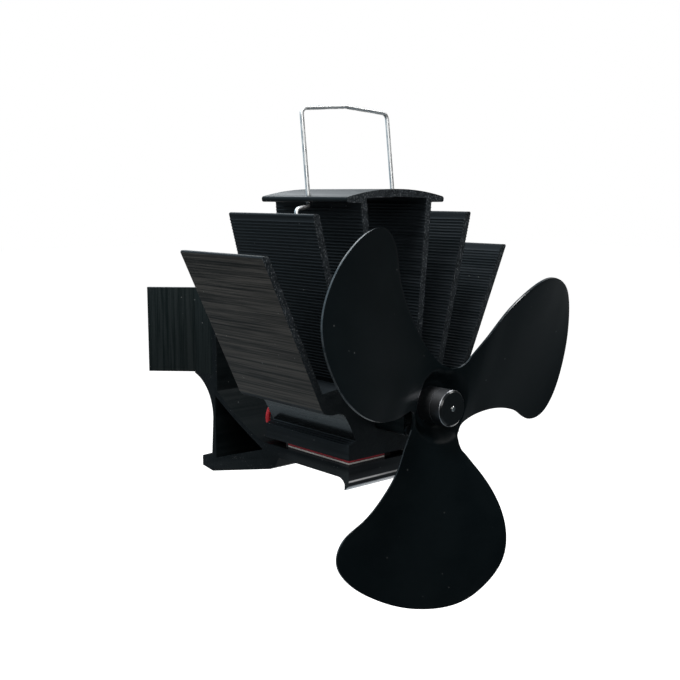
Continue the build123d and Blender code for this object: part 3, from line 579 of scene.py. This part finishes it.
# Propeller: one black-painted aluminium sheet, 1 mm thick, with three pitched blades and a
# dished centre, pressed in one stroke.
web_y = -0.1446
web_hole, web_rim = 0.0052, 0.1958
dish_depth, dish_floor, dish_rim = 0.0075, 0.0096, 0.0172
sheet = 0.001
weld_gap = 0.00001
full_slope, edge_lift = 0.365, 0.19
seam_bearing = 68.5
blade_long = 0.0878
blade_turns = (128.5, 8.5, -111.5)
pitch_at = (0.0, 0.1, 0.13, 0.17, 0.215, 0.27, 0.38, 0.52, 0.68, 0.85, 1.06)
pitch_slope = (0, 0, -0.096, -0.183, -0.261, -0.321, -0.335, -0.368, -0.365, -0.325, -0.25)
pitch_camber = (0, 0, -0.02, -0.08, -0.15, -0.19, -0.20, -0.155, -0.12, -0.08, -0.05)
trailing_root = ((0.0979, -0.1696), (0.1458, -0.1419), (0.142, -0.137), (0.225, -0.1327))
leading_root = ((0.185, 0.2037), (0.1776, 0.1731), (0.119, 0.1573), (0.0979, 0.1696))
blade_edge = (
    (0.225, -0.1327), (0.345, -0.133), (0.440, -0.148), (0.545, -0.181), (0.650, -0.235),
    (0.760, -0.312), (0.868, -0.314), (0.940, -0.235), (0.985, -0.090), (0.998, 0.060),
    (0.975, 0.240), (0.905, 0.395), (0.780, 0.490), (0.640, 0.525), (0.500, 0.495),
    (0.375, 0.420), (0.270, 0.310), (0.185, 0.2037),
)


def bezier(p0, p1, p2, p3, steps):
    """Points of a cubic curve."""
    out = []
    for k in range(steps):
        t = k / steps
        out.append(tuple(
            (1 - t) ** 3 * a + 3 * (1 - t) ** 2 * t * b + 3 * (1 - t) * t * t * c + t ** 3 * d
            for a, b, c, d in zip(p0, p1, p2, p3)
        ))
    return out


def fair_curve(points, steps):
    """The stiffest smooth curve through points: a cubic spline over the chord lengths."""
    p = np.array(points, float)
    gaps = np.hypot(*(p[1:] - p[:-1]).T)
    count = len(p)
    system, right = np.zeros((count, count)), np.zeros((count, 2))
    system[0, 0] = system[-1, -1] = 1
    for n in range(1, count - 1):
        system[n, n - 1:n + 2] = gaps[n - 1], 2 * (gaps[n - 1] + gaps[n]), gaps[n]
        right[n] = 6 * ((p[n + 1] - p[n]) / gaps[n] - (p[n] - p[n - 1]) / gaps[n - 1])
    bend = np.linalg.solve(system, right)
    out = []
    for n in range(count - 1):
        h = gaps[n]
        for k in range(steps):
            t = k / steps * h
            out.append(tuple(
                bend[n] * (h - t) ** 3 / (6 * h) + bend[n + 1] * t ** 3 / (6 * h)
                + (p[n] / h - bend[n] * h / 6) * (h - t)
                + (p[n + 1] / h - bend[n + 1] * h / 6) * t
            ))
    out.append(tuple(p[-1]))
    return out


whole_edge = bezier(*trailing_root, 20) + fair_curve(blade_edge, 30)
whole_edge += bezier(*leading_root, 20)[1:] + [leading_root[-1]]


def measured(points):
    """Turns points into a curve that gives the place at a share of its length."""
    p = np.array(points, float)
    far = np.concatenate([[0.0], np.cumsum(np.hypot(*(p[1:] - p[:-1]).T))])

    def at(share):
        return Vector((float(np.interp(share * far[-1], far, p[:, 0])),
                       float(np.interp(share * far[-1], far, p[:, 1]))))

    return at


root_u, tip_low, tip_high = 0.30, 0.90, 0.93
tip_at = max(range(len(whole_edge)), key=lambda k: whole_edge[k][0])
low_root = next(k for k in range(tip_at) if whole_edge[k][0] > root_u)
low_tip = next(k for k in range(tip_at) if whole_edge[k][0] > tip_low)
high_tip = max(k for k in range(len(whole_edge)) if whole_edge[k][0] > tip_high)
high_root = max(k for k in range(len(whole_edge)) if whole_edge[k][0] > root_u)
valley_low = measured(whole_edge[:low_root + 1])
valley_high = measured(whole_edge[high_root:][::-1])
side_low = measured(whole_edge[low_root:low_tip + 1])
tip_line = measured(whole_edge[low_tip:high_tip + 1])
side_high = measured(whole_edge[high_tip:high_root + 1][::-1])


def smooth_table(at, values, u):
    """A value between the stations of a table, by a smooth curve."""
    u = max(at[0], min(at[-1], u))
    n = max(k for k in range(len(at) - 1) if at[k] <= u)
    steep = [0.0] * len(at)
    for k in range(1, len(at) - 1):
        steep[k] = (values[k + 1] - values[k - 1]) / (at[k + 1] - at[k - 1])
    h = at[n + 1] - at[n]
    t = (u - at[n]) / h
    return (
        (2 * t ** 3 - 3 * t ** 2 + 1) * values[n] + (t ** 3 - 2 * t ** 2 + t) * h * steep[n]
        + (3 * t ** 2 - 2 * t ** 3) * values[n + 1] + (t ** 3 - t ** 2) * h * steep[n + 1]
    )


def eased(value, low, high):
    """0 below low, 1 above high, and smooth between."""
    t = max(0.0, min(1.0, (value - low) / (high - low)))
    return t * t * (3 - 2 * t)


def pitch_rise(u, v):
    """How far back of the web's plane the sheet lies at a place of one blade, in shares."""
    slope = smooth_table(pitch_at, pitch_slope, u)
    camber = smooth_table(pitch_at, pitch_camber, u)
    steep = min(1.0, max(0.0, -slope / full_slope))
    return slope * v + camber * v * v + edge_lift * steep * v ** 3


def dish_fall(radius):
    """Depth of the dished centre at a radius, with its rim and floor rounded."""
    return dish_depth * (1 - eased(radius, dish_floor, dish_rim))


rows, columns = 76, 36
root_rows = 0.25


def between(low, high, near, far, s, w):
    """The place (s, w) on a patch that is bounded by four curves."""
    return (
        low(s) * (1 - w) + high(s) * w + near(w) * (1 - s) + far(w) * s
        - near(0) * (1 - w) * (1 - s) - near(1) * w * (1 - s)
        - far(0) * (1 - w) * s - far(1) * w * s
    )


def root_chord(w):
    """A place on the straight line across the blade where its root ends."""
    return side_low(0).lerp(side_high(0), w)


def web_arc(w):
    """A place on the web's rim between two valleys."""
    angle = math.radians(-60 + 120 * w)
    return Vector((web_rim * math.cos(angle), web_rim * math.sin(angle)))


def blade_plan(s, w):
    """A place (u, v) on a blade's flat plan: s from the web's rim to the tip, w across."""
    if s > root_rows:
        share = (s - root_rows) / (1 - root_rows)
        place = between(side_low, side_high, root_chord, tip_line, share, w)
    else:
        place = between(valley_low, valley_high, web_arc, root_chord, s / root_rows, w)
    return place.x, place.y


def patch(name, across, along, plan):
    """A grid whose vertices are set down by plan(share along, share across)."""
    bpy.ops.object.select_all(action="DESELECT")
    bpy.ops.mesh.primitive_grid_add(x_subdivisions=across, y_subdivisions=along, size=1)
    made = bpy.context.object
    made.name = name
    for vertex in made.data.vertices:
        vertex.co = plan(vertex.co.y + 0.5, vertex.co.x + 0.5)
    made.location = (0, 0, 0)
    return made


def sheet_point(u, v, turn):
    """The front face of the sheet at a place of one blade's plan, given in shares."""
    x = (u * math.cos(turn) - v * math.sin(turn)) * blade_long
    z = (u * math.sin(turn) + v * math.cos(turn)) * blade_long
    y = web_y + dish_fall(math.hypot(x, z)) + pitch_rise(u, v) * blade_long
    return x, y, z + hub_z


def web_point(s, w):
    """The same on the round web: s from its hole to its rim, w once round."""
    radius = web_hole + (web_rim * blade_long - web_hole) * s
    angle = math.radians(seam_bearing + 360 * w)
    x, z = radius * math.cos(angle), radius * math.sin(angle)
    bearing = math.degrees(math.atan2(z, x))
    near = min(blade_turns, key=lambda a: abs((bearing - a + 180) % 360 - 180))
    turn = math.radians(near)
    u = (x * math.cos(turn) + z * math.sin(turn)) / blade_long
    v = (-x * math.sin(turn) + z * math.cos(turn)) / blade_long
    return sheet_point(u, v, turn)


def bevelled(made, width, segments, degrees):
    """Adds a bevel to the edges that are sharper than an angle."""
    bevel = made.modifiers.new("edges", "BEVEL")
    bevel.width = width
    bevel.segments = segments
    bevel.limit_method = "ANGLE"
    bevel.angle_limit = math.radians(degrees)


parts = [
    patch("blade", columns, rows,
          lambda s, w, turn=math.radians(turn): sheet_point(*blade_plan(s, w), turn))
    for turn in blade_turns
]
parts.append(patch("web", columns * 3, 18, web_point))
only(parts[0])
for part in parts[1:]:
    part.select_set(True)
bpy.ops.object.join()
propeller = bpy.context.object
propeller.name = "propeller_sheet"
whole_mesh((bpy.ops.mesh.remove_doubles, {"threshold": 4 * weld_gap}),
           (bpy.ops.mesh.normals_make_consistent, {"inside": False}))
if sum(face.normal.y * face.area for face in propeller.data.polygons) > 0:
    whole_mesh((bpy.ops.mesh.flip_normals, {}))
solid = propeller.modifiers.new("sheet", "SOLIDIFY")
solid.thickness = sheet
solid.offset = -1
bpy.ops.object.modifier_apply(modifier="sheet")
bevelled(propeller, sheet * 0.33, 4, 50)
bpy.ops.object.modifier_apply(modifier="edges")
blade_paint, tree, shader = finish_of("blade_paint", 0.06)
place = coordinates(tree)
cloudy = ramp(tree, noise(tree, place, 45), 0.35, 0.65)
clouds = tint(tree, cloudy, (0.0017, 0.0034, 0.0042), (0.0024, 0.0044, 0.0053))
wire(tree, dusted(tree, clouds, 330, 0.10), (shader, "Base Color"))
roughened(tree, shader, cloudy, 0.38, 0.42)
relief(tree, shader, noise(tree, place, 900, 2.0), 0.000004)
# The sheet's rims are painted lighter than its faces, a painted highlight along the edges, with
# worn patches in it.
blade_rim, tree, shader = finish_of("blade_rim", 0.45)
rim_wear_and_highlight = ramp(tree, noise(tree, coordinates(tree), 260), 0.35, 0.65)
wire(tree, tint(tree, rim_wear_and_highlight, (0.008, 0.011, 0.013), (0.024, 0.028, 0.031)),
     (shader, "Base Color"))
roughened(tree, shader, rim_wear_and_highlight, 0.22, 0.32)
coated(propeller, blade_paint, blade_rim)
rim_slope, rim_from = 0.6, 0.0185
for face in propeller.data.polygons:
    from_axis = math.hypot(face.center.x, face.center.z - hub_z)
    on_rim = abs(face.normal.y) < rim_slope and from_axis > rim_from
    face.material_index = 1 if on_rim else 0
smoothed(propeller, 40)
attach(propeller, "propeller")
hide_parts("propeller_blades")


# Hub: a turned bushing riveted through the dish and a cap pressed in front of it, both
# black; the barrel's grey metal is a painted sheen for its highlight, and the steel shaft's end
# is in the middle.
barrel_edge = (0.00775, 0.00792)
hub_gloss, tree, shader = finish_of("hub_gloss", 0.3, coat=0.35)
place = coordinates(tree)
at = axes(tree, place)
drop = combine(tree, "SUBTRACT", (at, "Z"), hub_z)
squares = combine(tree, "ADD", combine(tree, "MULTIPLY", (at, "X"), (at, "X")),
                  combine(tree, "MULTIPLY", drop, drop))
barrel = ramp(tree, combine(tree, "POWER", squares, 0.5), *barrel_edge)
face_tone = tint(tree, noise(tree, place, 900, 2.0), (0.0012, 0.0020, 0.0024),
                 (0.0030, 0.0042, 0.0048))
# Painted sheen: grey metal on the barrel, a dark tone on the face.
wire(tree, tint(tree, barrel, face_tone, (0.38, 0.39, 0.41)), (shader, "Base Color"))
wire(tree, barrel, (shader, "Metallic"))
roughened(tree, shader, barrel, 0.3, 0.35)
for node in ("hub_bushing", "hub_cap"):
    dress(node, hub_gloss, 30)
shaft_steel = steel_finish("shaft_steel", (0.62, 0.62, 0.61), 0.22)
dress("motor_shaft", shaft_steel, 30)


# Hot base: one black aluminium extrusion across the fan, sawn at its two sides. Slab, lips,
# strut, wall, shelf and tail are one section.
def softened(node, width, finish):
    """A CAD node whose edges are broken by a small bevel, which leaves its mesh as it is."""
    piece = dress(node, finish)
    weld = piece.modifiers.new("weld", "WELD")
    weld.merge_threshold = weld_gap
    bevelled(piece, width, 2, 32)
    smoothed(piece, 30)


base_drawn = drawn_finish("base_drawn", (0.02, 1, 1), (0.0012, 0.0026, 0.0030),
                          (0.0035, 0.0052, 0.0058), (0.35, 0.5), 0.12, 0.00002, 0.2)
base_sawn = sawn_finish("base_sawn_side", (0.0018, 0.0031, 0.0037), (0.0068, 0.0088, 0.0102),
                        0.12, 0.3)
# Painted highlight: the lip of the black extrusion is given bright metal, darker higher up.
lip_painted_highlight = steel_finish("base_lip_painted_highlight", (0.74, 0.74, 0.75), 0.24)
base_front = drawn_finish("base_front_face", (0.02, 1, 1), (0.0070, 0.0085, 0.0100),
                          (0.0190, 0.0215, 0.0245), (0.3, 0.42), 0.3, 0.00001, 0.2)


def recoloured(finish, band, colour):
    """Lays a colour over a finish by a mask that band() makes from the object's place."""
    tree = finish.node_tree
    shader = tree.nodes["Principled BSDF"]
    link = shader.inputs["Base Color"].links[0]
    under, number = link.from_node, list(link.from_node.outputs).index(link.from_socket)
    mask = band(tree, axes(tree, coordinates(tree)))
    wire(tree, tint(tree, mask, (under, number), colour), (shader, "Base Color"))


# Painted highlights: the lip is painted bright metal towards its tip, and a bright line is
# painted along the front above it
recoloured(lip_painted_highlight, lambda tree, at: ramp(tree, (at, "Z"), 0.0096, 0.0114),
           (0.10, 0.10, 0.11))
recoloured(base_front, lambda tree, at: combine(
    tree, "MULTIPLY", ramp(tree, (at, "Z"), 0.0126, 0.0131),
    ramp(tree, (at, "Z"), 0.0133, 0.0138, 1.0, 0.0)), (0.62, 0.62, 0.63))
# Painted light: low down towards the front, the sawn sides are painted lighter, as if lit.
recoloured(base_sawn, lambda tree, at: combine(
    tree, "MULTIPLY", ramp(tree, (at, "Z"), 0.0165, 0.0190, 1.0, 0.0),
    ramp(tree, (at, "Y"), -0.080, -0.062, 1.0, 0.0)), (0.0150, 0.0182, 0.0200))
base = nodes["hot_base"].copy()
base.data = nodes["hot_base"].data.copy()
base.name = "hot_base_dressed"
bpy.context.scene.collection.objects.link(base)
only(base)
whole_mesh((bpy.ops.mesh.remove_doubles, {"threshold": weld_gap}),
           (bpy.ops.mesh.dissolve_limited, {"angle_limit": math.radians(0.5)}))
lip_front, lip_rear, lip_low, lip_top = -0.116, -0.1128, 0.0096, 0.0112
tip_fade, tip_back, tip_down = 0.0024, 0.0008, 0.0009
for vertex in base.data.vertices:
    co = vertex.co
    if lip_front < co.y < lip_rear and co.z < lip_top - weld_gap:
        near = 1 - (co.z - lip_low) / tip_fade
        co.y += tip_back * near
        co.z -= tip_down * near
coated(base, base_drawn, base_sawn, lip_painted_highlight, base_front)
for face in base.data.polygons:
    low_front = face.center.y < -0.1135 and face.center.z < 0.0113 and face.normal.y < 0
    high_front = face.normal.y < -0.9 and 0.0112 < face.center.z < 0.0198
    face.material_index = (1 if abs(face.normal.x) > 0.95 else 2 if low_front
                           else 3 if high_front else 0)
bevelled(base, 0.0003, 3, 25)
bpy.ops.object.modifier_apply(modifier="edges")
smoothed(base, 30)
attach(base, "frame")
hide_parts("hot_base")


# Pipe saddle: a black aluminium extrusion that stands on the shelf, its wings against the
# pipe. Its draw lines run up and down.
saddle_drawn = drawn_finish("saddle_drawn", (3.5, 3.5, 0.06), (0.0030, 0.0060, 0.0062),
                            (0.0104, 0.0146, 0.0152), (0.36, 0.5), 0.15, 0.00002, 0.35)
softened("pipe_saddle", 0.0002, saddle_drawn)


# Magnets, screws and washers of the base and the saddle: bought-in parts of plated steel.
# The screws that hold the motor housing are blackened.
plated = steel_finish("nickel_plate", (0.6, 0.59, 0.56), 0.28)
zinc = steel_finish("zinc_plate", (0.5, 0.51, 0.52), 0.32)
dress("pipe_magnets", plated, 30)
black_oxide = steel_finish("black_oxide", (0.03, 0.033, 0.036), 0.35)
for node in ("saddle_screws", "clamp_screws", "clamp_washers"):
    dress(node, zinc, 30)
dress("housing_screws", black_oxide, 30)


# Thermoelectric module: two white ceramic plates, with grey pellets between them. It lies
# between the hot base and the plate of the heat sink, behind the seals.
def matt_finish(name, dark, light, rough, scale, depth, specular=0.4):
    """A dull finish with a grain of its own size."""
    made, tree, shader = finish_of(name, specular)
    grain = noise(tree, coordinates(tree), scale)
    mask = ramp(tree, grain, 0.32, 0.68)
    wire(tree, tint(tree, mask, dark, light), (shader, "Base Color"))
    roughened(tree, shader, mask, rough, rough * 0.85)
    relief(tree, shader, grain, depth)
    return made


ceramic = matt_finish("ceramic_white", (0.68, 0.67, 0.63), (0.8, 0.79, 0.76), 0.55, 1200,
                      0.00001)
pellet = matt_finish("pellet_grey", (0.12, 0.12, 0.13), (0.24, 0.24, 0.25), 0.4, 1500, 0.00002)
dress("teg_hot_plate", ceramic)
dress("teg_cold_plate", ceramic)
dress("teg_pellets", pellet)


# Seals round the module: a dark foam strip, a white fibre strip and red silicone on top.
# The silicone has crept a little way down over the top of the fibre, in a wavy line.
foam = matt_finish("seal_foam", (0.006, 0.007, 0.008), (0.016, 0.016, 0.018), 0.85, 2200,
                   0.0001, 0.2)
fibre = matt_finish("seal_fibre", (0.19, 0.185, 0.18), (0.42, 0.41, 0.39), 0.9, 2600, 0.0001,
                    0.2)
silicone = matt_finish("seal_silicone", (0.15, 0.004, 0.009), (0.24, 0.008, 0.016), 0.5, 900,
                       0.00003)
dress("seal_dark", foam)
recoloured(fibre, lambda tree, at: ramp(
    tree, combine(tree, "ADD", (at, "Z"), combine(
        tree, "MULTIPLY", noise(tree, coordinates(tree), 420), 0.0004)), 0.02192, 0.02200),
    (0.075, 0.004, 0.008))
dress("seal_white", fibre)
dress("seal_red", silicone)


# Clamp sleeves: dark glass-filled plastic tubes that keep the screws off the hot base. Only
# the front one shows, in the gap.
sleeve = matt_finish("sleeve_plastic", (0.024, 0.020, 0.020), (0.044, 0.037, 0.037), 0.6, 1500,
                     0.00003)
dress("clamp_sleeves", sleeve, 30)


# Motor housing: a square aluminium block on the front of the trunk, blackened, sawn and
# broken at its edges, with a round bore for the motor.
housing_drawn = drawn_finish("housing_drawn", (1, 0.05, 1), (0.0012, 0.0027, 0.0033),
                             (0.0035, 0.0055, 0.0062), (0.3, 0.42), 0.12, 0.00002, 0.2)
softened("motor_housing", 0.0002, housing_drawn)


# Motor: a drawn steel can, its black end cap, bronze bushes, dark magnets, a laminated core,
# and copper brushes and terminals.
can_steel = steel_finish("can_steel", (0.55, 0.56, 0.57), 0.3)
cap_plastic = matt_finish("cap_plastic", (0.012, 0.012, 0.013), (0.02, 0.02, 0.021), 0.5,
                          1300, 0.00001)
magnet_dark = matt_finish("magnet_ferrite", (0.02, 0.02, 0.021), (0.04, 0.04, 0.042), 0.5,
                          1600, 0.00003)
copper = steel_finish("copper_worn", (0.6, 0.3, 0.17), 0.3)
dress("motor_can", can_steel, 30)
dress("motor_armature", can_steel, 30)
dress("motor_end_cap", cap_plastic, 30)
dress("motor_magnets", magnet_dark, 30)
for node in ("motor_bushes", "motor_commutator", "motor_brushes", "motor_terminals"):
    dress(node, copper, 30)


# Leads: stranded copper in silicone, red and black, from the module's rear edge through the
# bore of the trunk to the motor.
red_lead = matt_finish("lead_red_silicone", (0.42, 0.012, 0.02), (0.55, 0.02, 0.03), 0.35,
                       600, 0.00002, 0.5)
black_lead = matt_finish("lead_black_silicone", (0.006, 0.006, 0.007), (0.012, 0.012, 0.013),
                         0.35, 600, 0.00002, 0.5)
dress("lead_red", red_lead, 40)
dress("lead_black", black_lead, 40)
